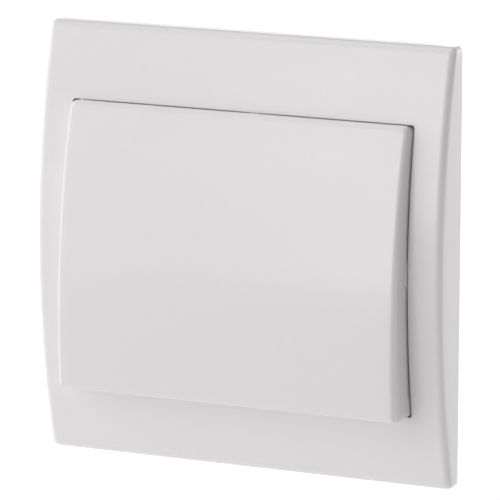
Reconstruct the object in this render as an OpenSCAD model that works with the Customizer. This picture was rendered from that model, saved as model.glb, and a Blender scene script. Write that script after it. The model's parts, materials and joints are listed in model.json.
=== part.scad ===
// One-gang rocker wall switch for a 60 mm flush box: bowed square cover plate,
// wide rocker, steel mounting bridge, see-saw contact and push-in terminals.
// Axes: +X right, +Z up, -Y towards the user, +Y into the wall.
// Origin: centre of the 60 mm fixing pattern, in the wall plane.
// A "depth" is a distance in front of the wall plane, so it lies at y = -depth.

/* [Cover plate] */
// width and height of the square cover plate
plate_w = 81; // [78:0.5:90]
// depth of the plate at its top and bottom edges
plate_edge_t = 3.2; // [2.5:0.1:6]
// depth of the plate at mid height, on the crown of the bow
plate_crown_t = 9.0; // [7:0.1:12]
// wall thickness of the moulded plate
plate_wall = 2.0; // [1.4:0.1:3]
// plan radius of the plate's four corners
plate_corner_r = 1.2; // [0.8:0.1:6]
// rounding of the plate's front edge
plate_round = 1.4; // [0.6:0.1:2]
// width of the rocker opening
opening_w = 68.2; // [60:0.1:72]
// height of the rocker opening
opening_h = 53.4; // [45:0.1:60]
// height of the opening's centre relative to the plate's
opening_z = -0.15; // [-0.5:0.05:0.5]
// plan radius of the opening's corners
opening_r = 0.5; // [0.3:0.1:4]
// thickness of the collar around the opening
collar_t = 1.4; // [1:0.1:2]
// depth at which the collar stops
collar_back = 3.2; // [2.4:0.1:4]

/* [Rocker] */
// gap between rocker and opening on the left and right
rocker_gap = 0.25; // [0.2:0.05:0.8]
// depth of the rocker's crown with the rocker level
rocker_crown = 13.6; // [11:0.1:17]
// shell thickness of the rocker
rocker_wall = 1.8; // [1.2:0.1:2.5]
// rounding of the rocker's front edges
rocker_round = 1.1; // [0.6:0.05:2.5]
// rounding of the rocker's two top corners, seen from the front
rocker_corner_r = 1.5; // [0.5:0.1:3]
// rounding of the rocker's two bottom corners
rocker_corner_low = 0.5; // [0.3:0.1:3]
// height of the rocker's top edge
rocker_top = 26.55; // [20:0.05:30]
// height of the rocker's bottom edge below the middle
rocker_bottom = 26.9; // [20:0.1:30]
// height of the rocker's top wall at the plate's surface, with the rocker level
rocker_waist_z = 26.45; // [20:0.05:30]
// depth of that point of the top wall
rocker_waist = 6.6; // [5:0.1:8]
// height of the rocker's top wall at its back rim
rocker_rim_z = 25.95; // [20:0.05:30]
// height of the rocker's bottom wall below the middle, at its back rim
rocker_rim_low = 26.25; // [20:0.05:30]
// depth of the rocker's back rim with the rocker level
rocker_rim = 3.7; // [3:0.1:5]
// tilt of the rocker from level at either end of its travel
tilt = 5.5; // [3:0.1:7]
// depth of the rocker's pivot axis
pivot_d = 8.7; // [8:0.1:9]
// radius of the two centring bosses on the rocker's sides
boss_r = 3.0; // [2:0.1:3]
// depth of the bosses' centre
boss_d = 6.75; // [6:0.05:7.5]
// height of the centring bosses
boss_h = 0.17; // [0.1:0.01:0.3]

/* [Cradle and plunger] */
// half width of the cradle
cradle_x = 15.4; // [12:0.1:18]
// half height of the cradle plate
cradle_z = 14; // [10:0.1:16]
// depth of the cradle plate's front face
cradle_front = 9.6; // [9:0.1:11]
// thickness of the cradle plate
cradle_t = 1.8; // [1.2:0.1:2.5]
// radius of the trunnion pins
trunnion_r = 1.8; // [1.5:0.05:2.0]
// radial running clearance of pins and plunger
run_clear = 0.05; // [0.02:0.01:0.1]
// radius of the spring plunger
plunger_r = 2.0; // [1.5:0.05:2.5]
// plunger tip behind the wall plane with the rocker level
plunger_tip = 10.27; // [9:0.01:11]
// wire radius of the plunger spring
spring_wire_r = 0.22; // [0.15:0.01:0.3]

/* [Contacts] */
// see-saw axis behind the wall plane
arm_y = 11.6; // [10:0.1:13]
// tilt of the see-saw arm at either end of its travel
arm_tilt = 10; // [6:0.5:14]
// half length of the see-saw arm
arm_z = 9.8; // [8:0.1:12]
// half width of the see-saw arm
arm_x = 3.2; // [2:0.1:4]
// thickness of the contact metal
contact_t = 0.8; // [0.5:0.1:1.2]
// distance of the contact buttons from the see-saw axis
button_z = 8.0; // [6:0.1:10]
// radius of the contact buttons
button_r = 1.5; // [1:0.1:2]

/* [Insert] */
// half width of the housing
housing_x = 20.4; // [19:0.1:22]
// half height of the housing
housing_z = 22; // [20:0.1:23]
// depth of the housing behind the wall plane
housing_d = 21; // [18:0.5:26]
// thickness of the rear cover
rear_t = 3; // [2:0.1:4]
// radius of the wire entries
entry_r = 1.9; // [1.5:0.05:2.2]
// travel of the release buttons
release_travel = 1.2; // [0.8:0.1:2]

/* [Mounting bridge] */
// width and height of the bridge
bridge_w = 70; // [68:0.5:72]
// thickness of the bridge
bridge_t = 1.0; // [0.8:0.1:1.5]
// half distance between the fixing slots
slot_pos = 30; // [30:0.5:30.5]
// length of a fixing slot
slot_len = 8; // [6:0.5:9]
// half width of a fixing slot
slot_r = 2.0; // [1.7:0.05:2.3]

/* [Claws] */
// distance of the claw screws from the middle
claw_screw_x = 24.2; // [23:0.1:25]
// height of the claws relative to the middle
claw_z = -9; // [-11:0.5:-7]
// radius of the claw screws
claw_screw_r = 1.5; // [1.2:0.05:1.75]

/* [Hidden] */
$fn = 64;
fine = 360;
eps = 0.01;

// bow of plate and rocker
bow = plate_crown_t - plate_edge_t;
bow_r = (plate_w * plate_w / 4 + bow * bow) / (2 * bow);
front = -20;

// feet and pegs on the back of the plate
foot_x = 31.5;
foot_z = 32;
foot_r = 1.4;
peg_x = 24;
peg_z = 31.5;
peg_w = 5;
peg_t = 1.6;

// rocker cap
rocker_w = opening_w - 2 * rocker_gap;
rocker_edge_d = rocker_crown - 2.35 - rocker_round;
root_d = 12.2;
rib_x = 11.6;
rib_t = 1.6;
rib_z = 11;
hook_x = 7;
hook_w = 5;
hook_t = 1.5;
hook_gap = 0.2;
hook_catch = 0.9;

// cradle, its bearings and the spring tube
cradle_back = cradle_front - cradle_t;
trunnion_len = 3.1;
hub_t = 2.4;
ear_x = cradle_x + 0.3;
ear_t = 2.5;
ear_r = 2.5;
tube_r = plunger_r + 1.3;
tube_end = 3.2;

// plunger spring
spring_end = cradle_back - 0.4;
plunger_seat = 0.5;
spring_guide_r = 1.0;
spring_turns = 5;
spring_mean_r = 1.6;
spring_pitch = (spring_end - plunger_seat - 2 * spring_wire_r) / spring_turns;

// contacts
arm_back = 0.4;
arm_front = arm_back + contact_t;
button_t = 0.8;
stem_r = 0.68;
stem_hole_r = 0.7;
fixed_y = 0.45;
strip_y = fixed_y + button_t;
blade_r = 0.35;
blade_y = arm_y + 0.05;
common_y = 15.5;
strip_z = 2.4;

// contact chamber and terminal bays of the housing
chamber_x = 8.5;
chamber_z = 16;
chamber_back = 19.5;
bay_x0 = 10;
bay_x1 = 18.6;
bay_z = 12;
bay_front = 4;
bar_x = bay_x0 + 0.3;
bar_t = 1.0;
wire_x = 13.2;
wire_z = 6;

// flange of the front cover and the screws through it
flange_front = bridge_t + 1.6;
flange_z = 20.5;
window_x = cradle_x + 0.2;
window_z = 12;
body_screw_x = 15.5;
body_screw_z = 17.5;
body_screw_r = 1.2;
body_screw_end = 9;
body_head_r = 2.2;
body_head_t = 1.4;

// bridge openings and the clips in them
cutout_w = 35;
cutout_h = 27;
clip_slot_w = 7.2;
clip_slot_h = 2.4;

// claws
hinge_x = 21.6;
hinge_y = 3.5;
claw_pin_r = 0.9;
claw_pin_len = 8.8;
lug_t = 1.6;
leg_t = 1.2;
fork_z = 1.9;
neck_z = 2.6;
leg_z = 3.4;
fork_end = 14;
claw_end = 18.5;
strap_y = 6.4;
strap_t = 1.0;
strap_x = 27.2;
strap_hole_r = 2.35;
tooth_t = 1.6;
tooth_reach = 3.4;
claw_head_r = 2.7;
claw_head_t = 1.8;
claw_screw_end = 13;

// push-in terminals
clamp_z = 8.5;
clamp_bend_x = 17.0;
clamp_bend_y = 9;
clamp_bend_r = 1.4;
clamp_t = 0.4;
clamp_angle = 30.3;
clamp_len = 7.2;
lever_x0 = 15.7;
lever_x1 = 17.6;
lever_z = 2.8;
lever_y = 18.4;
nose_x = 14.6;
nose_y = 13.6;

// ---- helpers ----

// 2D shape in the X-Z plane, extruded from y0 to y1
module along_y(y0, y1) {
  translate([0, y1, 0])
    rotate([90, 0, 0])
      linear_extrude(height = y1 - y0)
        children();
}

// 2D shape in the Y-Z plane, extruded from x0 to x1
module along_x(x0, x1) {
  translate([x0, 0, 0])
    rotate([90, 0, 90])
      linear_extrude(height = x1 - x0)
        children();
}

// 2D shape in the X-Y plane, extruded from z0 to z1
module along_z(z0, z1) {
  translate([0, 0, z0])
    linear_extrude(height = z1 - z0)
      children();
}

// box from corner a to corner b
module box(a, b) {
  translate(a)
    cube([b[0] - a[0], b[1] - a[1], b[2] - a[2]]);
}

// round bar along Y
module rod_y(x, z, y0, y1, r) {
  translate([x, y1, z])
    rotate([90, 0, 0])
      cylinder(r = r, h = y1 - y0);
}

// round bar along X
module rod_x(y, z, x0, x1, r) {
  translate([x0, y, z])
    rotate([0, 90, 0])
      cylinder(r = r, h = x1 - x0);
}

// the children and their mirror image on the left
module both_sides() {
  for (m = [0, 1])
    mirror([m, 0, 0])
      children();
}

// the children and their mirror image below
module both_ends() {
  for (m = [0, 1])
    mirror([0, 0, m])
      children();
}

// rectangle with rounded corners, centred
module rrect(w, h, r) {
  square([w - 2 * r, h], center = true);
  square([w, h - 2 * r], center = true);
  for (i = [-1, 1])
    for (j = [-1, 1])
      translate([i * (w / 2 - r), j * (h / 2 - r)])
        circle(r = r);
}

// slot outline along the 2D x axis
module slot2d(len, r) {
  square([len - 2 * r, 2 * r], center = true);
  for (i = [-1, 1])
    translate([i * (len / 2 - r), 0])
      circle(r = r);
}

// disc whose rim is the bowed front: crown at depth d, width w, rim rounded by rr
module bow_disc(radius, d, w, rr) {
  translate([0, radius - d, 0])
    rotate([0, 90, 0])
      rotate_extrude($fn = fine) {
        translate([0, -w / 2 + rr])
          square([radius, w - 2 * rr]);
        translate([0, -w / 2])
          square([radius - rr, w]);
        for (i = [-1, 1])
          translate([radius - rr, i * (w / 2 - rr)])
            circle(r = rr, $fn = 48);
      }
}

// plain bowed disc without rim rounding
module bow_plain(radius, d, w) {
  translate([-w / 2, radius - d, 0])
    rotate([0, 90, 0])
      cylinder(r = radius, h = w, $fn = fine);
}

// cutter that rounds the straight front edge at z = half
module end_round(radius, d, half, rr, w) {
  zc = half - rr;
  rc = radius - rr;
  yc = radius - d - sqrt(rc * rc - zc * zc);
  a = asin(zc / rc);
  reach = 3 * rr;
  along_x(-w / 2 - 1, w / 2 + 1)
    difference() {
      polygon([
        [yc, zc],
        [yc - reach * cos(a), zc + reach * sin(a)],
        [yc - reach, zc + reach],
        [yc, zc + reach]
      ]);
      translate([yc, zc])
        circle(r = rr, $fn = 48);
    }
}

// tilt of the rocker group at rest: top pressed in
module at_rest() {
  translate([0, -pivot_d, 0])
    rotate([-tilt, 0, 0])
      translate([0, pivot_d, 0])
        children();
}

// frame of the see-saw arm: axis on X, turned by a
module arm_frame(a) {
  translate([0, arm_y, 0])
    rotate([a, 0, 0])
      children();
}

// ---- visible parts ----

// solid feet and pegs that are left standing in the plate's cavity
module feet_and_pegs() {
  both_sides()
    both_ends() {
      rod_y(foot_x, foot_z, front, -bridge_t, foot_r);
      box([peg_x - peg_w / 2, front, peg_z - peg_t / 2], [peg_x + peg_w / 2, -0.1, peg_z + peg_t / 2]);
    }
}

module cover_frame() {
  inner_w = plate_w - 2 * plate_wall;
  color("white")
    difference() {
      intersection() {
        bow_disc(bow_r, plate_crown_t, plate_w, plate_round);
        along_y(front, 0)
          rrect(plate_w, plate_w, plate_corner_r);
      }
      both_ends()
        end_round(bow_r, plate_crown_t, plate_w / 2, plate_round, plate_w);
      // cavity behind the front wall, around the collar
      difference() {
        intersection() {
          bow_plain(bow_r - plate_wall, plate_crown_t - plate_wall, plate_w);
          along_y(front, 1)
            rrect(inner_w, inner_w, 1);
        }
        along_y(front, -collar_back)
          translate([0, opening_z])
            rrect(opening_w + 2 * collar_t, opening_h + 2 * collar_t, opening_r + collar_t);
        feet_and_pegs();
      }
      along_y(front, 1)
        translate([0, opening_z])
          rrect(opening_w, opening_h, opening_r);
    }
}

// front outline of the rocker, its top corners rounder than the bottom ones
module rocker_outline() {
  half = rocker_w / 2;
  hull()
    for (i = [-1, 1]) {
      translate([i * (half - rocker_corner_r), rocker_top - rocker_corner_r])
        circle(r = rocker_corner_r);
      translate([i * (half - rocker_corner_low), rocker_corner_low - rocker_bottom])
        circle(r = rocker_corner_low);
    }
}

// bowed hollow cap, drawn level; its end walls lean in towards the back rim
module rocker_shell() {
  inner_w = rocker_w - 2 * rocker_wall;
  inner_h = 2 * (rocker_rim_z - rocker_wall);
  difference() {
    intersection() {
      bow_disc(bow_r, rocker_crown, rocker_w, rocker_round);
      along_x(-rocker_w / 2, rocker_w / 2)
        polygon([
          [-rocker_rim, rocker_rim_z],
          [-rocker_waist, rocker_waist_z],
          [-rocker_edge_d, rocker_top],
          [front, rocker_top],
          [front, -rocker_bottom],
          [-rocker_edge_d, -rocker_bottom],
          [-rocker_rim, -rocker_rim_low]
        ]);
      along_y(front, 0)
        rocker_outline();
    }
    end_round(bow_r, rocker_crown, rocker_top, rocker_round, rocker_w);
    mirror([0, 0, 1])
      end_round(bow_r, rocker_crown, rocker_bottom, rocker_round, rocker_w);
    intersection() {
      bow_plain(bow_r - rocker_wall, rocker_crown - rocker_wall, rocker_w);
      along_y(front, 0)
        rrect(inner_w, inner_h, 0.8);
    }
  }
}

module rocker() {
  color("white")
    at_rest() {
      rocker_shell();
      both_sides() {
        // rib that rests on the cradle plate
        box([rib_x - rib_t / 2, -root_d, -rib_z], [rib_x + rib_t / 2, -cradle_front, rib_z]);
        // centring boss that keeps the side gap
        rod_x(-boss_d, 0, rocker_w / 2 - 1, rocker_w / 2 + boss_h, boss_r);
        // snap hooks around the cradle plate
        both_ends() {
          box([hook_x - hook_w / 2, -root_d, cradle_z + hook_gap],
            [hook_x + hook_w / 2, -cradle_back + 1, cradle_z + hook_gap + hook_t]);
          box([hook_x - hook_w / 2, -cradle_back + 0.1, cradle_z + hook_gap - hook_catch],
            [hook_x + hook_w / 2, -cradle_back + 1, cradle_z + hook_gap + 0.1]);
        }
      }
    }
}

// ---- parts that move with the rocker ----

module cradle() {
  color("gainsboro")
    at_rest()
      difference() {
        union() {
          box([-cradle_x, -cradle_front, -cradle_z], [cradle_x, -cradle_back, cradle_z]);
          both_sides() {
            // hub with its trunnion
            rod_x(-pivot_d, 0, cradle_x - hub_t, cradle_x, ear_r);
            rod_x(-pivot_d, 0, cradle_x - 1, cradle_x + trunnion_len, trunnion_r);
            // stiffening rib
            box([tube_r - 1, -cradle_back - eps, -0.6], [cradle_x - 1, -cradle_back + 1.6, 0.6]);
          }
          rod_y(0, 0, -cradle_back - eps, tube_end, tube_r);
        }
        rod_y(0, 0, -spring_end, tube_end + 1, plunger_r + run_clear);
      }
}

module plunger() {
  shank_end = plunger_tip - plunger_r;
  color("ivory")
    at_rest() {
      rod_y(0, 0, -plunger_seat, shank_end, plunger_r);
      translate([0, shank_end, 0])
        sphere(r = plunger_r);
      rod_y(0, 0, -plunger_seat - 2, -plunger_seat + eps, spring_guide_r);
    }
}

// level slice through a round-wire helix: i runs along the wire, k = 1 outside, -1 inside
function slice_pt(i, k) =
  let (
    h = spring_wire_r * sin(i * 15),
    half = spring_wire_r * cos(i * 15),
    a = 360 * h / spring_pitch,
    r = spring_mean_r + k * half
  )
  [r * cos(a), r * sin(a)];

module plunger_spring() {
  color("silver")
    at_rest()
      translate([0, -plunger_seat - spring_wire_r, 0])
        rotate([90, 0, 0])
          linear_extrude(height = spring_pitch * spring_turns,
            twist = -360 * spring_turns, slices = 18 * spring_turns, $fn = 12)
            polygon([
              for (i = [-6:2:6]) slice_pt(i, 1),
              for (i = [4:-2:-4]) slice_pt(i, -1)
            ]);
}

// ---- contacts ----

module contact_arm() {
  cheek = 0.6;
  color("peru")
    arm_frame(arm_tilt)
      difference() {
        union() {
          box([-arm_x, -arm_front, -arm_z], [arm_x, -arm_back, arm_z]);
          // cheeks that keep the arm centred on the fulcrum blade
          both_sides()
            box([arm_x - cheek, -arm_back - 0.1, -2.2], [arm_x, 1, 2.2]);
        }
        // stem hole of the contact button
        rod_y(0, button_z, -3, 1, stem_hole_r);
      }
}

module moving_contact_tip() {
  color("silver")
    arm_frame(arm_tilt) {
      rod_y(0, button_z, -arm_back, button_t - arm_back, button_r);
      rod_y(0, button_z, -arm_front, -arm_back + eps, stem_r);
    }
}

module fixed_contact_tip() {
  color("silver")
    arm_frame(-arm_tilt) {
      rod_y(0, button_z, fixed_y, strip_y, button_r);
      rod_y(0, button_z, strip_y - eps, strip_y + contact_t, stem_r);
    }
}

// current bar along the inner wall of the right terminal bay
module current_bar() {
  box([bar_x, 9, -9], [bar_x + bar_t, 20, 9]);
}

module fixed_contact() {
  color("goldenrod")
    difference() {
      union() {
        arm_frame(-arm_tilt)
          box([-2.6, strip_y, button_z - 2.2], [bay_x0 + 1, strip_y + contact_t, button_z + 2.2]);
        current_bar();
      }
      arm_frame(-arm_tilt)
        rod_y(0, button_z, 0, 4, stem_hole_r);
    }
}

module common_contact() {
  color("goldenrod") {
    // fulcrum blade with its round edge
    box([-strip_z, blade_y, -blade_r], [strip_z, common_y + 0.1, blade_r]);
    rod_x(blade_y, 0, -strip_z, strip_z, blade_r);
    box([-bay_x0 - 1, common_y, -strip_z], [strip_z, common_y + contact_t, strip_z]);
    mirror([1, 0, 0])
      current_bar();
  }
}

// ---- insert ----

module housing() {
  lug_z = claw_pin_len / 2;
  color("whitesmoke") {
    difference() {
      union() {
        along_y(0, housing_d)
          rrect(2 * housing_x, 2 * housing_z, 3);
        // lugs that carry the claws
        both_sides()
          for (z = [claw_z - lug_z, claw_z + lug_z - lug_t])
            box([housing_x - 1, 0.2, z], [hinge_x + 1.5, hinge_y + 1.5, z + lug_t]);
        // ribs on the top and bottom walls
        both_ends()
          for (x = [-12:6:12])
            box([x - 0.6, 1.5, housing_z - 1], [x + 0.6, housing_d - 1.5, housing_z + 0.5]);
      }
      box([-chamber_x, -1, -chamber_z], [chamber_x, chamber_back, chamber_z]);
      both_sides() {
        box([bay_x0, bay_front, -bay_z], [bay_x1, housing_d + 1, bay_z]);
        both_ends()
          rod_y(body_screw_x, body_screw_z, -1, body_screw_end + 1, body_screw_r + 0.06);
        // claw pin bores
        translate([hinge_x, hinge_y, claw_z - lug_z - 1])
          cylinder(r = claw_pin_r + run_clear, h = claw_pin_len + 2);
      }
      // passages for the two contact strips
      box([-bay_x0 - 1, common_y - 0.2, -strip_z - 0.2], [0.5 - chamber_x, common_y + 1, strip_z + 0.2]);
      arm_frame(-arm_tilt)
        box([chamber_x - 0.5, strip_y - 0.2, button_z - 2.4],
          [bay_x0 + 1, strip_y + contact_t + 0.2, button_z + 2.4]);
    }
    // stop for the arm, and rests behind the contact strips
    box([-3, 12.97, -10.8], [3, chamber_back + 0.1, -8.4]);
    box([-strip_z, common_y + contact_t, -strip_z], [strip_z, chamber_back + 0.1, strip_z]);
    box([-strip_z, 15.75, 7.6], [strip_z, chamber_back + 0.1, 10.6]);
  }
}

module housing_cover() {
  color("gainsboro")
    difference() {
      union() {
        along_y(-flange_front, -bridge_t)
          rrect(2 * housing_x, 2 * flange_z, 3);
        // collar that locates the cover in the bridge cut-out
        along_y(-bridge_t - eps, 0)
          rrect(cutout_w - 0.2, cutout_h - 0.2, 1.5);
        // ears with the trunnion bearings
        both_sides() {
          box([ear_x, -pivot_d, -ear_r], [ear_x + ear_t, -bridge_t - 0.5, ear_r]);
          rod_x(-pivot_d, 0, ear_x, ear_x + ear_t, ear_r);
        }
      }
      box([-window_x, -flange_front - 1, -window_z], [window_x, 1, window_z]);
      both_sides() {
        rod_x(-pivot_d, 0, ear_x - 1, ear_x + ear_t + 1, trunnion_r + run_clear);
        both_ends()
          rod_y(body_screw_x, body_screw_z, -flange_front - 1, 0, body_screw_r + 0.1);
      }
    }
}

module rear_cover() {
  back = housing_d + rear_t;
  fit = 0.2;
  color("whitesmoke")
    difference() {
      along_y(housing_d, back)
        rrect(2 * housing_x, 2 * housing_z, 3);
      both_sides() {
        both_ends()
          rod_y(wire_x, wire_z, housing_d - 1, back + 1, entry_r);
        box([lever_x0 - fit, housing_d - 1, -lever_z - fit], [lever_x1 + fit, back + 1, lever_z + fit]);
      }
      // strip gauge: groove as long as the wire's bared end
      box([-5.5, back - 0.4, -15.6], [5.5, back + 1, -14.4]);
      // snap pockets at the top and bottom edges
      both_sides()
        both_ends()
          box([8, housing_d + 0.8, housing_z - 0.8], [12, back + 1, housing_z + 1]);
    }
}

module mounting_bridge() {
  color("silver")
    along_y(-bridge_t, 0)
      difference() {
        rrect(bridge_w, bridge_w, 5);
        rrect(cutout_w, cutout_h, 1.5);
        for (i = [-1, 1]) {
          translate([i * slot_pos, 0])
            slot2d(slot_len, slot_r);
          translate([0, i * slot_pos])
            rotate(90)
              slot2d(slot_len, slot_r);
          translate([i * claw_screw_x, claw_z])
            circle(r = claw_screw_r + 0.08);
          for (j = [-1, 1]) {
            translate([i * body_screw_x, j * body_screw_z])
              circle(r = body_screw_r + 0.1);
            translate([i * peg_x, j * peg_z])
              square([clip_slot_w, clip_slot_h], center = true);
          }
        }
      }
}

// one spring clip around the origin: plate, two leaves and two tabs
module frame_clip() {
  along_y(-bridge_t - 0.4, -bridge_t)
    difference() {
      square([9, 4.6], center = true);
      square([peg_w + 0.2, peg_t + 0.2], center = true);
    }
  both_ends()
    box([-2, -2.5, peg_t / 2 + 0.1], [2, -bridge_t - 0.3, peg_t / 2 + 0.5]);
  both_sides()
    box([peg_w / 2 + 0.2, -bridge_t - eps, -0.9], [clip_slot_w / 2 - 0.1, -0.1, 0.9]);
}

module frame_clips() {
  color("silver")
    for (i = [-1, 1])
      for (j = [-1, 1])
        translate([i * peg_x, 0, j * peg_z])
          frame_clip();
}

module body_screws() {
  head = flange_front + body_head_t;
  color("silver")
    both_sides()
      both_ends()
        difference() {
          union() {
            rod_y(body_screw_x, body_screw_z, -head, -flange_front, body_head_r);
            rod_y(body_screw_x, body_screw_z, -flange_front - eps, body_screw_end, body_screw_r);
          }
          translate([body_screw_x, -head, body_screw_z]) {
            cube([2.4, 1.6, 0.6], center = true);
            cube([0.6, 1.6, 2.4], center = true);
          }
        }
}

// ---- claws ----

// right-hand claw: pivot pin, forked leg around the screw, strap and two teeth
module claw() {
  x0 = hinge_x - leg_t / 2;
  x1 = hinge_x + leg_t / 2;
  color("lightgray") {
    translate([hinge_x, hinge_y, claw_z - claw_pin_len / 2])
      cylinder(r = claw_pin_r, h = claw_pin_len);
    translate([0, 0, claw_z]) {
      box([x0, hinge_y, -neck_z], [x1, 4.6, neck_z]);
      both_ends() {
        box([x0, 4.5, fork_z], [x1, 5.6, neck_z]);
        box([x0, 5.4, fork_z], [x1, fork_end + 0.2, leg_z]);
      }
      box([x0, fork_end, -leg_z], [x1, claw_end, leg_z]);
      difference() {
        box([hinge_x, strap_y, -leg_z], [strap_x, strap_y + strap_t, leg_z]);
        rod_y(claw_screw_x, 0, strap_y - 1, strap_y + strap_t + 1, strap_hole_r);
      }
      for (z = [-leg_z, leg_z - tooth_t])
        along_z(z, z + tooth_t)
          polygon([
            [hinge_x, fork_end + 0.2],
            [hinge_x + tooth_reach, fork_end + 0.6],
            [hinge_x + 0.5, fork_end + 2],
            [hinge_x + tooth_reach, fork_end + 2.8],
            [hinge_x + 0.5, claw_end],
            [hinge_x, claw_end]
          ]);
    }
  }
}

// right-hand claw screw with a combined slot and cross recess
module claw_screw() {
  color("silver")
    difference() {
      union() {
        rod_y(claw_screw_x, claw_z, -bridge_t - claw_head_t, -bridge_t - 0.05, claw_head_r);
        rod_y(claw_screw_x, claw_z, -bridge_t - 0.1, claw_screw_end, claw_screw_r);
      }
      translate([claw_screw_x, -bridge_t - claw_head_t, claw_z]) {
        cube([4.2, 2.0, 0.8], center = true);
        cube([0.8, 2.0, 2.8], center = true);
      }
    }
}

module claw_left() {
  mirror([1, 0, 0])
    claw();
}

module claw_right() {
  claw();
}

module claw_screw_left() {
  mirror([1, 0, 0])
    claw_screw();
}

module claw_screw_right() {
  claw_screw();
}

// ---- terminals ----

// right-hand clamp spring: anchor leaf, rolled bend and clamping tongue
module clamp_spring() {
  bend_out = clamp_bend_x + clamp_bend_r;
  color("lightsteelblue")
    along_z(-clamp_z, clamp_z) {
      translate([bend_out - clamp_t, clamp_bend_y])
        square([clamp_t, 11]);
      translate([clamp_bend_x, clamp_bend_y])
        difference() {
          circle(r = clamp_bend_r);
          circle(r = clamp_bend_r - clamp_t);
          translate([-2, 0])
            square([4, 4]);
        }
      translate([clamp_bend_x - clamp_bend_r, clamp_bend_y])
        rotate(clamp_angle)
          translate([0, -0.1])
            square([clamp_t - 0.05, clamp_len]);
    }
}

module clamp_spring_left() {
  mirror([1, 0, 0])
    clamp_spring();
}

module clamp_spring_right() {
  clamp_spring();
}

// right-hand release button: stem, retaining flange and the nose that lifts the spring
module release_button() {
  color("orange") {
    box([lever_x0, 11.5, -lever_z], [lever_x1, housing_d + rear_t + release_travel, lever_z]);
    box([lever_x0, lever_y, -lever_z - 1], [lever_x1, housing_d - 0.1, lever_z + 1]);
    box([nose_x, nose_y, -lever_z], [lever_x0 + 0.1, lever_y, lever_z]);
  }
}

module release_button_left() {
  mirror([1, 0, 0])
    release_button();
}

module release_button_right() {
  release_button();
}

cover_frame();
rocker();
cradle();
plunger();
plunger_spring();
contact_arm();
moving_contact_tip();
fixed_contact();
fixed_contact_tip();
common_contact();
housing();
housing_cover();
rear_cover();
mounting_bridge();
frame_clips();
body_screws();
claw_left();
claw_right();
claw_screw_left();
claw_screw_right();
clamp_spring_left();
clamp_spring_right();
release_button_left();
release_button_right();
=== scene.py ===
import json
import math

import bmesh
import bpy
from mathutils import Matrix, Vector


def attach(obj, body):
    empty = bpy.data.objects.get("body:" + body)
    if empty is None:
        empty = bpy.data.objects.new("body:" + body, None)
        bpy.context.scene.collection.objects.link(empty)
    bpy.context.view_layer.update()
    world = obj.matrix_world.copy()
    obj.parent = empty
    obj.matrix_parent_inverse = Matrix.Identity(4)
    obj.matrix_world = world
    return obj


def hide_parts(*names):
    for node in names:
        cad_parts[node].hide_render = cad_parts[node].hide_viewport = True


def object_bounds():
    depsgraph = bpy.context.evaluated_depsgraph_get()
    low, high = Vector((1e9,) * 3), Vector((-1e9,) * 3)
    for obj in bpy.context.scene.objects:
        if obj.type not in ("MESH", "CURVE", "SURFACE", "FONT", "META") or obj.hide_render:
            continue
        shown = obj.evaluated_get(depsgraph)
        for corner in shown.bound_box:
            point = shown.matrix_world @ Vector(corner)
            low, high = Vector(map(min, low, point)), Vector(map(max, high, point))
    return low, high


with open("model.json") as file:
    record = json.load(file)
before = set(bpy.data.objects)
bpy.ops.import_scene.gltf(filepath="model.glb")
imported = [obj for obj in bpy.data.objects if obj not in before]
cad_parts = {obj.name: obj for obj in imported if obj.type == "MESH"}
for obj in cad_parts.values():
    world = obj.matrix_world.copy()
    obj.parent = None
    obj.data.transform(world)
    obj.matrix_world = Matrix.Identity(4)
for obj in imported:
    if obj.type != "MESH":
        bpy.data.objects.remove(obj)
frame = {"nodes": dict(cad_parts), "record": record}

CAD_BOX = [list(c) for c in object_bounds()]
NODES = frame["nodes"]
MM = 0.001

# ---------------------------------------------------------------- dimensions
# The same driving sizes as the CAD, in millimetres. Depths are measured forward from the wall plane.
# cover plate: square, with the front bowed from its top edge to its bottom edge
PLATE = 81.0
EDGE_T = 3.2  # depth of the front at the top and bottom edges
CROWN_T = 9.0  # depth of the front at half height
PLATE_R = 1.2
PLATE_ROUND = 1.4
WALL = 2.0
OPEN_W = 68.2
OPEN_H = 53.4
OPEN_Z = -0.15
OPEN_R = 0.5
OPEN_ROUND = 0.12
COLLAR = 1.4
COLLAR_BACK = 3.2
COLLAR_LEAST = 0.05  # length that the collar keeps where the cavity is shallow
CAVITY_R = 1.0
FOOT_X = 31.5
FOOT_Z = 32.0
FOOT_R = 1.4
FOOT_EDGE = 0.2
FOOT_STEPS = 28
PEG_X = 24.0
PEG_Z = 31.5
PEG_W = 5.0
PEG_T = 1.6
PEG_BACK = 0.1
PLATE_ROOT = 0.6  # how far feet and pegs run into the plate
# rocker, drawn level; its top and bottom are measured up and down from the pivot
ROCKER_W = 67.7
ROCKER_CROWN = 13.6
ROCKER_WALL = 1.8
ROCKER_ROUND = 1.1
ROCKER_R = 1.5
ROCKER_R_LOW = 0.5
ROCKER_INNER_R = 0.8
ROCKER_TOP = 26.55
ROCKER_BOTTOM = 26.9
ROCKER_WAIST_Z = 26.45  # top wall at its waist, the bend in its lean
ROCKER_WAIST = 6.6  # depth of the waist
ROCKER_RIM_Z = 25.95
ROCKER_RIM_LOW = 26.25
ROCKER_RIM = 3.7
RIM_EDGE = 0.2
WALL_SHARES = (0.04, 0.7, 1.0)  # where the outer wall has rings, besides its waist
ROCKER_ROOT = 12.2  # depth that ribs and hooks run up to
RIB_X = 11.6
RIB_T = 1.6
RIB_Z = 11.0
HOOK_X = 7.0
HOOK_W = 5.0
HOOK_ARM = (0.2, 1.7)  # from the cradle's end, inner and outer side
HOOK_LIP = (-0.7, 0.3)  # the same for the lip
HOOK_PLAY = 0.1
HOOK_LIP_T = 0.9
BOSS_R = 3.0
BOSS_D = 6.75
BOSS_H = 0.17
BOSS_ROOT = 1.0
BOSS_EDGE = 0.12
BOSS_STEPS = 72
TILT = 5.5
PIVOT = 8.7
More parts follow.
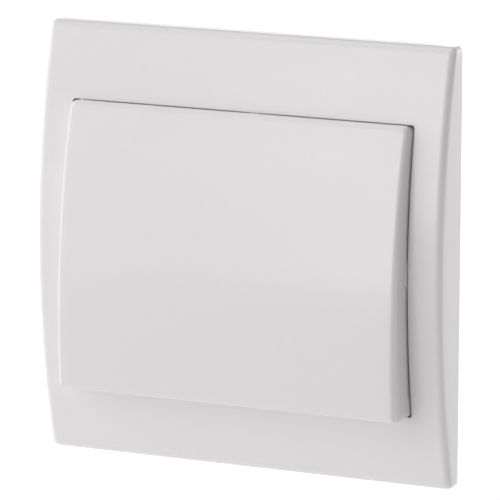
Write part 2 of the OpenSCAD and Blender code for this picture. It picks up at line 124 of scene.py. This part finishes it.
# insert
BRIDGE_T = 1.0
CRADLE_Z = 14.0
CRADLE_FRONT = 9.6
CRADLE_BACK = 7.8
CLAW_SCREW_X = 24.2
CLAW_Z = -9.0
FLANGE_FRONT = 2.6
BODY_SCREW_X = 15.5
BODY_SCREW_Z = 17.5
HEAD_EDGE = 0.08
DOME = 0.35  # share of the head's height that is domed
DOME_IN = 0.5  # how much narrower the dome starts
RECESS_FLOOR = 0.94  # size of the recess at its floor
THREAD_DEPTH = 0.55  # share of the pitch
THREAD_START = 0.4  # first crest, in pitches from the head
TURN_STEPS = 6
# Screws lie along Y: front and underside of the head, end of the shank, radii, thread pitch, half sizes of
# the two crossed slots and how deep they are sunk.
CLAW_SCREW = {
    "front": -BRIDGE_T - 1.8, "under": -BRIDGE_T - 0.05, "end": 13.0, "head_r": 2.7, "shank_r": 1.5,
    "pitch": 0.7, "slots": ((2.1, 0.4), (0.4, 1.4)), "sunk": 1.0, "facets": 48,
}
BODY_SCREW = {
    "front": -FLANGE_FRONT - 1.4, "under": -FLANGE_FRONT, "end": 9.0, "head_r": 2.2, "shank_r": 1.2,
    "pitch": 0.6, "slots": ((1.2, 0.3), (0.3, 1.2)), "sunk": 0.8, "facets": 24,
}

BOW = CROWN_T - EDGE_T
BOW_R = (PLATE * PLATE / 4 + BOW * BOW) / (2 * BOW)

# ---------------------------------------------------------------- mesh settings
CORNER_STEPS = 8  # per corner arc of a ring
STEPS_X = 20  # per straight side
STEPS_Z = 28
EDGE_STEPS = 8  # rings over a rounded front edge
SMALLEST_R = 0.02
MIDDLE = 0.02  # size of the ring that closes a face, as a share of that face
SCREW_SHARP = 40.0  # degrees from which a screw's edges stay hard


def bow_drop(z, radius=BOW_R):
    """How far the bowed front falls back from its crown at height z."""
    return radius - math.sqrt(radius * radius - z * z)


def lerp(a, b, t):
    """The value at the share t of the way from a to b."""
    return a + (b - a) * t


def plate_front(z):
    """Depth of the plate's bowed front."""
    return CROWN_T - bow_drop(min(abs(z), PLATE / 2))


def plate_ceiling(z):
    """Depth of the cavity behind it."""
    return CROWN_T - WALL - bow_drop(min(abs(z), PLATE / 2), BOW_R - WALL)


def rocker_front(z):
    """Depth of the rocker's bowed front, drawn level."""
    return ROCKER_CROWN - bow_drop(z)


def rocker_ceiling(z):
    """Depth of the hollow behind it."""
    return ROCKER_CROWN - ROCKER_WALL - bow_drop(z, BOW_R - ROCKER_WALL)


# ---------------------------------------------------------------- mesh helpers
def outline(half_w, half_h, r, r_low=None):
    """Rounded rectangle as (x, z) points, anticlockwise seen from the front.

    The two bottom corners have their own radius where r_low is given.
    """
    r = max(r, SMALLEST_R)
    low = r if r_low is None else max(r_low, SMALLEST_R)
    arcs = []
    for sx, sz, start, radius in ((1, -1, -90, low), (1, 1, 0, r), (-1, 1, 90, r), (-1, -1, 180, low)):
        ox, oz = sx * (half_w - radius), sz * (half_h - radius)
        angles = [math.radians(start + 90.0 * i / CORNER_STEPS) for i in range(CORNER_STEPS + 1)]
        arcs.append([(ox + radius * math.cos(a), oz + radius * math.sin(a)) for a in angles])
    points = []
    for arc, after, steps in zip(arcs, arcs[1:] + arcs[:1], (STEPS_Z, STEPS_X, STEPS_Z, STEPS_X)):
        points += arc
        (xa, za), (xb, zb) = arc[-1], after[0]
        points += [(lerp(xa, xb, i / steps), lerp(za, zb, i / steps)) for i in range(1, steps)]
    return points


def loop(half_w, half_h, r, depth, lift=0.0, r_low=None):
    """One ring of a shell, its centre raised by lift.

    The depth is a number or a function of z, in mm in front of the wall.
    """
    out = []
    for x, z in outline(half_w, half_h, r, r_low):
        d = depth(z + lift) if callable(depth) else depth
        out.append(Vector((x * MM, -d * MM, (z + lift) * MM)))
    return out


def skin(bm, loops, closed):
    """Quads between rings of the same length; an open row of rings gets a face at each end."""
    rows = [[bm.verts.new(p) for p in ring] for ring in loops]
    n = len(rows[0])
    pairs = list(zip(rows, rows[1:]))
    if closed:
        pairs.append((rows[-1], rows[0]))
    for a, b in pairs:
        for i in range(n):
            j = (i + 1) % n
            bm.faces.new((a[i], a[j], b[j], b[i]))
    if not closed:
        bm.faces.new(list(reversed(rows[0])))
        bm.faces.new(rows[-1])


def block(bm, lo, hi):
    """Axis-aligned box between two corners in mm."""
    corners = [(x, y, z) for x in (lo[0], hi[0]) for y in (lo[1], hi[1]) for z in (lo[2], hi[2])]
    v = [bm.verts.new(Vector(c) * MM) for c in corners]
    for f in ((0, 1, 3, 2), (4, 6, 7, 5), (0, 4, 5, 1), (2, 3, 7, 6), (0, 2, 6, 4), (1, 5, 7, 3)):
        bm.faces.new([v[i] for i in f])


def rod(bm, start, end, r, steps, edge):
    """Round bar between two points in mm, with its end edges chamfered by edge."""
    a, b = Vector(start) * MM, Vector(end) * MM
    axis = (b - a).normalized()
    side = axis.orthogonal().normalized()
    up = axis.cross(side)
    length = (b - a).length / MM
    rings = []
    for along, radius in ((0.0, r - edge), (edge, r), (length - edge, r), (length, r - edge)):
        rings.append([
            a + axis * along * MM + (side * math.cos(t) + up * math.sin(t)) * radius * MM
            for t in (2 * math.pi * i / steps for i in range(steps))
        ])
    skin(bm, rings, False)


def finish_mesh(bm, name, sharp=35.0):
    """The bmesh as a new object, smooth shaded with edges above that many degrees kept hard."""
    bmesh.ops.recalc_face_normals(bm, faces=bm.faces)
    mesh = bpy.data.meshes.new(name)
    bm.to_mesh(mesh)
    bm.free()
    for p in mesh.polygons:
        p.use_smooth = True
    mesh.set_sharp_from_angle(angle=math.radians(sharp))
    obj = bpy.data.objects.new(name, mesh)
    bpy.context.scene.collection.objects.link(obj)
    return obj


# ---------------------------------------------------------------- cover plate
def build_cover():
    """Bowed square plate as one closed shell, with its collar, feet and pegs."""
    half = PLATE / 2
    rings = []
    # outer wall from the rim, then the rounded front edge
    rings.append(loop(half, half, PLATE_R, 0.0))
    rings.append(loop(half, half, PLATE_R, lambda z: 0.5 * (plate_front(z) - PLATE_ROUND)))
    for i in range(EDGE_STEPS + 1):
        a = math.pi / 2 * i / EDGE_STEPS
        s = PLATE_ROUND * (1 - math.cos(a))
        sink = PLATE_ROUND * (1 - math.sin(a))
        rings.append(loop(half - s, half - s, PLATE_R - s, lambda z, sink=sink: plate_front(z) - sink))
    # front face, from the rounded edge to the opening
    x0, x1 = half - PLATE_ROUND, OPEN_W / 2 + OPEN_ROUND
    z0, z1 = half - PLATE_ROUND, OPEN_H / 2 + OPEN_ROUND
    r0, r1 = PLATE_R - PLATE_ROUND, OPEN_R + OPEN_ROUND
    face_steps = 12
    for i in range(1, face_steps + 1):
        t = i / face_steps
        rings.append(loop(lerp(x0, x1, t), lerp(z0, z1, t), lerp(r0, r1, t), plate_front, OPEN_Z * t))
    # eased edge of the opening, then the collar wall
    ease_steps = 4
    for i in range(1, ease_steps + 1):
        a = math.pi / 2 * i / ease_steps
        s = OPEN_ROUND * (1 - math.sin(a))
        sink = OPEN_ROUND * (1 - math.cos(a))
        rings.append(loop(
            OPEN_W / 2 + s, OPEN_H / 2 + s, OPEN_R + s,
            lambda z, sink=sink: plate_front(z) - sink, OPEN_Z))
    rings.append(loop(OPEN_W / 2, OPEN_H / 2, OPEN_R, COLLAR_BACK, OPEN_Z))
    # back of the collar, its outer wall up to the cavity's ceiling, then the ceiling and the side walls
    cw, ch, cr = OPEN_W / 2 + COLLAR, OPEN_H / 2 + COLLAR, OPEN_R + COLLAR
    rings.append(loop(cw, ch, cr, COLLAR_BACK, OPEN_Z))
    rings.append(loop(cw, ch, cr, lambda z: max(plate_ceiling(z), COLLAR_BACK + COLLAR_LEAST), OPEN_Z))
    inner = half - WALL
    ceiling_steps = 6
    for i in range(1, ceiling_steps + 1):
        t = i / ceiling_steps
        rings.append(loop(
            lerp(cw, inner, t), lerp(ch, inner, t), lerp(cr, CAVITY_R, t), plate_ceiling, OPEN_Z * (1 - t)))
    rings.append(loop(inner, inner, CAVITY_R, 0.0))
    bm = bmesh.new()
    skin(bm, rings, True)
    # feet that stand on the bridge and pegs that enter its slots
    foot_front = -plate_ceiling(FOOT_Z) - PLATE_ROOT
    peg_front = -plate_ceiling(PEG_Z) - PLATE_ROOT
    for i in (-1, 1):
        for j in (-1, 1):
            foot_x, foot_z = i * FOOT_X, j * FOOT_Z
            foot_base, foot_top = (foot_x, -BRIDGE_T, foot_z), (foot_x, foot_front, foot_z)
            rod(bm, foot_base, foot_top, FOOT_R, FOOT_STEPS, FOOT_EDGE)
            peg_x, peg_z = i * PEG_X, j * PEG_Z
            peg_low = (peg_x - PEG_W / 2, peg_front, peg_z - PEG_T / 2)
            peg_high = (peg_x + PEG_W / 2, -PEG_BACK, peg_z + PEG_T / 2)
            block(bm, peg_low, peg_high)
    return finish_mesh(bm, "cover_plate")


# ---------------------------------------------------------------- rocker
def rest_turn():
    """The rocker group's tilt at rest about its pivot axis: top pressed in."""
    to_pivot = Matrix.Translation((0, -PIVOT * MM, 0))
    return to_pivot @ Matrix.Rotation(math.radians(-TILT), 4, "X") @ to_pivot.inverted()


def rocker_rings():
    """Rings of the hollow cap, from the middle of its ceiling round the rim to the middle of its face."""
    hw = ROCKER_W / 2
    rings = []
    iw, ih = hw - ROCKER_WALL, ROCKER_RIM_Z - ROCKER_WALL
    ceiling_steps = 8
    for i in range(ceiling_steps + 1):
        t = MIDDLE + (1 - MIDDLE) * i / ceiling_steps
        rings.append(loop(iw * t, ih * t, ROCKER_INNER_R * t, rocker_ceiling))
    # inner walls and the rim
    rings.append(loop(iw, ih, ROCKER_INNER_R, ROCKER_RIM + RIM_EDGE))
    rings.append(loop(iw + RIM_EDGE, ih + RIM_EDGE, ROCKER_INNER_R + RIM_EDGE, ROCKER_RIM))
    rim_half, rim_mid = (ROCKER_RIM_Z + ROCKER_RIM_LOW) / 2, (ROCKER_RIM_Z - ROCKER_RIM_LOW) / 2
    rings.append(loop(hw - RIM_EDGE, rim_half - RIM_EDGE, ROCKER_R, ROCKER_RIM, rim_mid, ROCKER_R_LOW))
    # outer walls: the ends lean out towards the front, the top one up to its waist first
    edge_d = rocker_front(ROCKER_TOP) - ROCKER_ROUND
    waist = (ROCKER_WAIST - ROCKER_RIM) / (edge_d - ROCKER_RIM)
    for t in sorted((waist, *WALL_SHARES)):
        if t <= waist:
            top = lerp(ROCKER_RIM_Z, ROCKER_WAIST_Z, t / waist)
        else:
            top = lerp(ROCKER_WAIST_Z, ROCKER_TOP, (t - waist) / (1 - waist))
        bottom = lerp(ROCKER_RIM_LOW, ROCKER_BOTTOM, t)
        rings.append(loop(
            hw, (top + bottom) / 2, ROCKER_R,
            lambda z, t=t: lerp(ROCKER_RIM, rocker_front(z) - ROCKER_ROUND, t),
            (top - bottom) / 2, ROCKER_R_LOW))
    # rounded front edge
    hh, mid = (ROCKER_TOP + ROCKER_BOTTOM) / 2, (ROCKER_TOP - ROCKER_BOTTOM) / 2
    edge_steps = EDGE_STEPS + 1
    for i in range(1, edge_steps + 1):
        a = math.pi / 2 * i / edge_steps
        s = ROCKER_ROUND * (1 - math.cos(a))
        sink = ROCKER_ROUND * (1 - math.sin(a))
        rings.append(loop(
            hw - s, hh - s, ROCKER_R - s,
            lambda z, sink=sink: rocker_front(z) - sink, mid, ROCKER_R_LOW - s))
    # front face, towards its middle
    face_steps = 14
    for i in range(1, face_steps + 1):
        t = 1 - (1 - MIDDLE) * i / face_steps
        x, z = (hw - ROCKER_ROUND) * t, (hh - ROCKER_ROUND) * t
        rings.append(loop(x, z, (ROCKER_R - ROCKER_ROUND) * t, rocker_front, mid * t, SMALLEST_R))
    return rings


def build_rocker():
    """Hollow rocker cap with leaning end walls, ribs, snap hooks and centring bosses."""
    bm = bmesh.new()
    skin(bm, rocker_rings(), False)
    # the hooks pass the cradle's ends, and their lips catch behind it
    lip_front, hook_end = -CRADLE_BACK + HOOK_PLAY, -CRADLE_BACK + HOOK_PLAY + HOOK_LIP_T
    for i in (-1, 1):
        rib_x, hook_x = i * RIB_X, i * HOOK_X
        block(bm, (rib_x - RIB_T / 2, -ROCKER_ROOT, -RIB_Z), (rib_x + RIB_T / 2, -CRADLE_FRONT, RIB_Z))
        boss_in, boss_out = i * (ROCKER_W / 2 - BOSS_ROOT), i * (ROCKER_W / 2 + BOSS_H)
        rod(bm, (boss_in, -BOSS_D, 0), (boss_out, -BOSS_D, 0), BOSS_R, BOSS_STEPS, BOSS_EDGE)
        for j in (-1, 1):
            lo, hi = sorted(j * (CRADLE_Z + side) for side in HOOK_ARM)
            block(bm, (hook_x - HOOK_W / 2, -ROCKER_ROOT, lo), (hook_x + HOOK_W / 2, hook_end, hi))
            lo, hi = sorted(j * (CRADLE_Z + side) for side in HOOK_LIP)
            block(bm, (hook_x - HOOK_W / 2, lip_front, lo), (hook_x + HOOK_W / 2, hook_end, hi))
    bmesh.ops.transform(bm, matrix=rest_turn(), verts=bm.verts)
    return finish_mesh(bm, "rocker_cap")


# ---------------------------------------------------------------- screws
def recess_radius(angle, slots):
    """Distance from the axis to the edge of a recess made of crossed slots."""
    c, s = abs(math.cos(angle)) + 1e-9, abs(math.sin(angle)) + 1e-9
    return max(min(half_x / c, half_z / s) for half_x, half_z in slots)


def screw_angles(slots, facets):
    """Even steps round the screw, and the directions of the recess's corners."""
    angles = [2 * math.pi * i / facets for i in range(facets)]
    corners = [math.atan2(half_z, half_x) for half_x, half_z in slots]
    corners.append(math.atan2(slots[0][1], slots[1][0]))
    for corner in corners:
        angles += [corner, math.pi - corner, math.pi + corner, 2 * math.pi - corner]
    return sorted(set(round(a, 5) for a in angles))


def add_screw(bm, x, z, front, under, end, head_r, shank_r, pitch, slots, sunk, facets):
    """Threaded screw along Y with a slot and cross recess in its domed head."""
    angles = screw_angles(slots, facets)

    def ring(y, radius):
        """One ring; the radius is a number or a function of the angle."""
        out = []
        for a in angles:
            r = radius(a) if callable(radius) else radius
            out.append(Vector(((x + r * math.cos(a)) * MM, y * MM, (z + r * math.sin(a)) * MM)))
        return out

    # recess, a little narrower at its floor, then the domed head
    rings = [ring(front + sunk, lambda a: RECESS_FLOOR * recess_radius(a, slots))]
    rings.append(ring(front, lambda a: recess_radius(a, slots)))
    dome = DOME * (under - front)
    dome_steps = 6
    for i in range(1, dome_steps + 1):
        a = math.pi / 2 * i / dome_steps
        rings.append(ring(front + dome * (1 - math.cos(a)), lerp(head_r - DOME_IN, head_r, math.sin(a))))
    rings.append(ring(under - HEAD_EDGE, head_r))
    rings.append(ring(under, head_r - HEAD_EDGE))
    # thread: crest at the shank radius, cut back between turns, fading out at both ends
    depth = THREAD_DEPTH * pitch
    start, stop = under + THREAD_START * pitch, end - 0.5
    thread_steps = int((stop - start) / pitch * TURN_STEPS)
    rings.append(ring(under, shank_r - 0.5 * depth))
    for i in range(thread_steps + 1):
        y = lerp(start, stop, i / thread_steps)

        def flank(a, y=y):
            """Radius of the thread at this height, for one direction."""
            phase = (y / pitch + a / (2 * math.pi)) % 1.0
            grow = min(1.0, (y - start) / pitch, (stop - y) / pitch)
            cut = min(1.0, 2.6 * abs(phase - 0.5))
            return shank_r - depth * lerp(0.5, cut, max(0.0, grow))

        rings.append(ring(y, flank))
    rings.append(ring(end - 0.3, shank_r - 0.5 * depth))
    rings.append(ring(end, 0.6 * shank_r))
    skin(bm, rings, False)


def build_claw_screw(side, name):
    """One claw screw; side is -1 for the left one and 1 for the right one."""
    bm = bmesh.new()
    add_screw(bm, side * CLAW_SCREW_X, CLAW_Z, **CLAW_SCREW)
    return finish_mesh(bm, name, SCREW_SHARP)


def build_body_screws():
    """The four body screws as one object."""
    bm = bmesh.new()
    for i in (-1, 1):
        for j in (-1, 1):
            add_screw(bm, i * BODY_SCREW_X, j * BODY_SCREW_Z, **BODY_SCREW)
    return finish_mesh(bm, "threaded_body_screws", SCREW_SHARP)


# ---------------------------------------------------------------- materials
def add_node(tree, kind, inputs, **settings):
    """New shader node with its settings; each input gets a value, or a link where an output is given."""
    node = tree.nodes.new(kind)
    for key, value in settings.items():
        setattr(node, key, value)
    for socket, value in inputs.items():
        if isinstance(value, bpy.types.NodeSocket):
            tree.links.new(value, node.inputs[socket])
        else:
            node.inputs[socket].default_value = value
    return node


def remap(tree, source, start, stop, low, high):
    """Output that goes from low to high as the source goes from start to stop, and holds beyond."""
    return add_node(tree, "ShaderNodeMapRange", {
        "Value": source, "From Min": start, "From Max": stop, "To Min": low, "To Max": high,
    }).outputs["Result"]


def mix_colours(tree, share, first, second, blend):
    """Output that blends the second colour into the first by that share."""
    colours = {0: share, 6: first, 7: second}
    return add_node(tree, "ShaderNodeMix", colours, data_type="RGBA", blend_type=blend).outputs[2]


def material(name, base, rough, bump, scale, spread, metal=0.0, stretch=(1, 1, 1), tint=None, blotch=25.0):
    """Procedural surface: two scales of colour variation, uneven gloss and a fine relief.

    The colour wanders from base to tint in patches (blotch) and by spread in specks (scale); bump is in mm.
    """
    made = bpy.data.materials.new(name)
    made.use_nodes = True
    tree = made.node_tree
    bsdf = tree.nodes["Principled BSDF"]
    bsdf.inputs["Metallic"].default_value = metal
    bsdf.inputs["IOR"].default_value = 1.5
    where = tree.nodes.new("ShaderNodeTexCoord").outputs["Object"]
    place = add_node(tree, "ShaderNodeMapping", {"Vector": where, "Scale": stretch})
    fine = add_node(tree, "ShaderNodeTexNoise", {
        "Vector": place.outputs["Vector"], "Scale": scale, "Detail": 6.0, "Roughness": 0.6,
    }).outputs["Fac"]
    broad = add_node(tree, "ShaderNodeTexNoise", {
        "Vector": where, "Scale": blotch, "Detail": 3.0,
    }).outputs["Fac"]
    other = tint or tuple(max(0.0, c * (1 - 3 * spread)) for c in base)
    patches = mix_colours(tree, broad, (*base, 1), (*other, 1), "MIX")
    shade = remap(tree, fine, 0.3, 0.7, 1 - spread, 1 + spread)
    specks = mix_colours(tree, 1.0, patches, shade, "MULTIPLY")
    tree.links.new(specks, bsdf.inputs["Base Color"])
    tree.links.new(remap(tree, fine, 0.3, 0.7, rough * 0.85, rough * 1.2), bsdf.inputs["Roughness"])
    relief = add_node(tree, "ShaderNodeBump", {"Height": fine, "Strength": 1.0, "Distance": bump * MM})
    tree.links.new(relief.outputs["Normal"], bsdf.inputs["Normal"])
    return made


MOULDED_WHITE = dict(base=(0.82, 0.79, 0.797), rough=0.15, bump=0.002, scale=900, spread=0.006, blotch=30)
FINISHES = {
    "gloss_white": MOULDED_WHITE,
    "rocker_white": MOULDED_WHITE,
    "cradle_grey": dict(base=(0.36, 0.37, 0.38), rough=0.42, bump=0.006, scale=1800, spread=0.03),
    "plunger_ivory": dict(base=(0.68, 0.63, 0.5), rough=0.35, bump=0.004, scale=1500, spread=0.03),
    "spring_steel": dict(
        base=(0.55, 0.56, 0.58), rough=0.28, bump=0.004, scale=2200, spread=0.06, metal=1.0,
        stretch=(1, 1, 6)),
    "contact_brass": dict(
        base=(0.72, 0.5, 0.2), rough=0.3, bump=0.004, scale=2000, spread=0.06, metal=1.0,
        stretch=(1, 1, 5), tint=(0.62, 0.42, 0.17)),
    "contact_copper": dict(
        base=(0.72, 0.38, 0.22), rough=0.32, bump=0.004, scale=2000, spread=0.06, metal=1.0,
        stretch=(5, 1, 1), tint=(0.6, 0.3, 0.17)),
    "contact_silver": dict(
        base=(0.8, 0.79, 0.76), rough=0.25, bump=0.003, scale=2600, spread=0.05, metal=1.0),
    "housing_white": dict(base=(0.6, 0.61, 0.61), rough=0.45, bump=0.01, scale=1600, spread=0.025),
    "cover_grey": dict(base=(0.42, 0.43, 0.44), rough=0.45, bump=0.01, scale=1600, spread=0.03),
    "rear_grey": dict(base=(0.3, 0.31, 0.33), rough=0.48, bump=0.012, scale=1500, spread=0.035),
    "bridge_zinc": dict(
        base=(0.62, 0.63, 0.65), rough=0.34, bump=0.006, scale=900, spread=0.08, metal=1.0,
        stretch=(1, 1, 12), tint=(0.55, 0.55, 0.5), blotch=60),
    "screw_zinc": dict(
        base=(0.66, 0.65, 0.6), rough=0.3, bump=0.003, scale=2400, spread=0.06, metal=1.0,
        tint=(0.6, 0.58, 0.5)),
    "claw_zinc": dict(
        base=(0.6, 0.6, 0.58), rough=0.36, bump=0.006, scale=1500, spread=0.08, metal=1.0,
        stretch=(1, 5, 1), tint=(0.54, 0.53, 0.47)),
    "button_orange": dict(base=(0.75, 0.2, 0.03), rough=0.38, bump=0.006, scale=1600, spread=0.03),
}
MATERIALS = {name: material(name, **finish) for name, finish in FINISHES.items()}


def paint(obj, slot_name):
    """Gives the object that slot's material alone."""
    obj.data.materials.clear()
    obj.data.materials.append(MATERIALS[slot_name])


def dress_cad(node, slot_name, bevel):
    """Keeps a CAD node's shape: joins its split vertices, eases its edges and paints it."""
    obj = NODES[node]
    for s in obj.material_slots:
        s.material = MATERIALS[slot_name]
    weld = obj.modifiers.new("weld", "WELD")
    weld.merge_threshold = 0.002 * MM
    if bevel:
        ease = obj.modifiers.new("ease", "BEVEL")
        ease.width = bevel * MM
        ease.segments = 2
        ease.limit_method = "ANGLE"
        ease.angle_limit = math.radians(40)
        ease.harden_normals = False
        ease.use_clamp_overlap = True
    even = obj.modifiers.new("even", "WEIGHTED_NORMAL")
    even.keep_sharp = True


# ---------------------------------------------------------------- pieces
SLOTS = {s["node"]: s["material_slot"] for s in frame["record"]["subparts"]}
BODY_OF = {n: b for b, names in frame["record"]["behaviour"]["bodies"].items() for n in names}
USUAL_BEVEL = 0.12
BEVELS = {"plunger_spring": 0.0, "housing": 0.2, "rear_cover": 0.2, "mounting_bridge": 0.15}
REBUILT = {
    "cover_frame": build_cover,
    "rocker": build_rocker,
    "body_screws": build_body_screws,
    "claw_screw_left": lambda: build_claw_screw(-1, "threaded_claw_screw_left"),
    "claw_screw_right": lambda: build_claw_screw(1, "threaded_claw_screw_right"),
}

for node_name, slot_name in SLOTS.items():
    if node_name in REBUILT:
        piece = REBUILT[node_name]()
        paint(piece, slot_name)
        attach(piece, BODY_OF[node_name])
        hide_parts(node_name)
    else:
        dress_cad(node_name, slot_name, BEVELS.get(node_name, USUAL_BEVEL))

# ---------------------------------------------------------------- stage, in metres
FLOOR_DROP = 0.03
FLOOR_HALF = 4.0
# glow of the floor in front of the switch and behind it, what the far floor adds, and where each sets in
GLOW_FRONT = 0.22
GLOW_BEHIND = 0.52
GLOW_FAR = 0.5
GLOW_BLEND = 0.06
FAR_START = 0.8
FAR_END = 2.2
CARD_DISTANCE = 1.2


def build_floor():
    """Large pale floor a little below the switch, glowing a little so that it stays white."""
    bm = bmesh.new()
    z = CAD_BOX[0][2] - FLOOR_DROP
    corners = ((-1, -1), (1, -1), (1, 1), (-1, 1))
    bm.faces.new([bm.verts.new((i * FLOOR_HALF, j * FLOOR_HALF, z)) for i, j in corners])
    mesh = bpy.data.meshes.new("floor")
    bm.to_mesh(mesh)
    bm.free()
    obj = bpy.data.objects.new("floor", mesh)
    bpy.context.scene.collection.objects.link(obj)
    made = bpy.data.materials.new("floor_white")
    made.use_nodes = True
    tree = made.node_tree
    bsdf = tree.nodes["Principled BSDF"]
    bsdf.inputs["Base Color"].default_value = (0.66, 0.66, 0.66, 1)
    bsdf.inputs["Roughness"].default_value = 0.9
    bsdf.inputs["Emission Color"].default_value = (1, 1, 1, 1)
    # more glow behind the switch than in front of it, and more again far off, up to the horizon
    where = tree.nodes.new("ShaderNodeTexCoord").outputs["Object"]
    split = add_node(tree, "ShaderNodeSeparateXYZ", {0: where})
    near = remap(tree, split.outputs["Y"], -GLOW_BLEND, GLOW_BLEND, GLOW_FRONT, GLOW_BEHIND)
    reach = add_node(tree, "ShaderNodeVectorMath", {0: where}, operation="LENGTH")
    far = remap(tree, reach.outputs["Value"], FAR_START, FAR_END, 0.0, GLOW_FAR)
    total = add_node(tree, "ShaderNodeMath", {0: near, 1: far}, operation="ADD")
    tree.links.new(total.outputs[0], bsdf.inputs["Emission Strength"])
    mesh.materials.append(made)


def area_light(name, place, size, power):
    """Soft rectangular light aimed at the origin, not seen by the camera."""
    data = bpy.data.lights.new(name, "AREA")
    data.shape = "RECTANGLE"
    data.size, data.size_y = size
    data.energy = power
    obj = bpy.data.objects.new(name, data)
    bpy.context.scene.collection.objects.link(obj)
    obj.location = place
    obj.rotation_euler = (-Vector(place)).to_track_quat("-Z", "Y").to_euler()
    obj.visible_camera = False


def softbox(name, azimuths, elevations, radiance):
    """Soft light that fills a range of directions; azimuth 0 is the front, 90 the right."""
    az, el = (math.radians(sum(pair) / 2) for pair in (azimuths, elevations))
    width = 2 * CARD_DISTANCE * math.tan(math.radians(azimuths[1] - azimuths[0]) / 2)
    height = 2 * CARD_DISTANCE * math.tan(math.radians(elevations[1] - elevations[0]) / 2)
    reach = CARD_DISTANCE * math.cos(el)
    place = (reach * math.sin(az), -reach * math.cos(az), CARD_DISTANCE * math.sin(el))
    area_light(name, place, (width, height), radiance * math.pi * width * height)


def build_world(strength):
    """Even white studio: the camera sees white, the object gets a softer share."""
    world = bpy.data.worlds.new("studio")
    bpy.context.scene.world = world
    world.use_nodes = True
    tree = world.node_tree
    soft = tree.nodes["Background"]
    soft.inputs["Color"].default_value = (1, 1, 1, 1)
    soft.inputs["Strength"].default_value = strength
    seen = add_node(tree, "ShaderNodeBackground", {"Color": (1, 1, 1, 1), "Strength": 1.0})
    path = tree.nodes.new("ShaderNodeLightPath")
    mix = add_node(tree, "ShaderNodeMixShader", {
        0: path.outputs["Is Camera Ray"], 1: soft.outputs[0], 2: seen.outputs[0],
    })
    tree.links.new(mix.outputs[0], tree.nodes["World Output"].inputs["Surface"])


def build_camera(yaw, pitch, roll, distance, lens, aim):
    """Long-lens camera; yaw is to the right of and pitch above the front, in degrees.

    It stands that far from the origin and looks at a point aim = (right, up) of it, in metres.
    """
    y, p, r = (math.radians(v) for v in (yaw, pitch, roll))
    back = Vector((math.sin(y) * math.cos(p), -math.cos(y) * math.cos(p), math.sin(p)))
    right = Vector((0, 0, 1)).cross(back).normalized()
    up = back.cross(right)
    place = back * distance
    axis = (right * aim[0] + up * aim[1] - place).normalized()
    right = axis.cross(up).normalized()
    up = right.cross(axis)
    turned_right = right * math.cos(r) + up * math.sin(r)
    turned_up = up * math.cos(r) - right * math.sin(r)
    data = bpy.data.cameras.new("camera")
    data.lens = lens
    data.sensor_width = 36.0
    data.clip_start = 0.01
    data.clip_end = 50.0
    obj = bpy.data.objects.new("camera", data)
    bpy.context.scene.collection.objects.link(obj)
    rotation = Matrix((turned_right, turned_up, -axis)).transposed().to_4x4()
    obj.matrix_world = Matrix.Translation(place) @ rotation
    bpy.context.scene.camera = obj


build_floor()
build_world(strength=0.04)
# wide cards around the switch: azimuths and elevations in degrees, then radiance
softbox("front_card", (-24.5, 3), (-4.5, 45), 1.78)
softbox("front_card_low", (-24.5, 3), (-4.5, 20), 0.8)
softbox("front_left", (-60, -24.5), (-4.5, 45), 1.12)
softbox("left", (-100, -60), (-10, 45), 1.45)
softbox("back_right", (118, 158), (-5, 35), 2.6)
softbox("back_left", (-165, -115), (-5, 35), 1.25)
softbox("behind", (-205, -160), (-5, 35), 0.92)
# lights overhead: place, size and power in watts
area_light("top", (0, -0.05, 1.2), (1.2, 1.2), 4.6)
area_light("top_left", (-0.65, -0.15, 1.0), (0.9, 1.1), 1.7)
area_light("top_back", (-0.3, 0.8, 0.9), (1.0, 0.6), 0.42)
build_camera(yaw=24.88, pitch=11.18, roll=0.22, distance=0.8627, lens=339.0, aim=(-0.00102, -0.00011))

view = bpy.context.scene.view_settings
view.view_transform = "Standard"
view.look = "None"
view.exposure = 0.0
view.gamma = 1.0
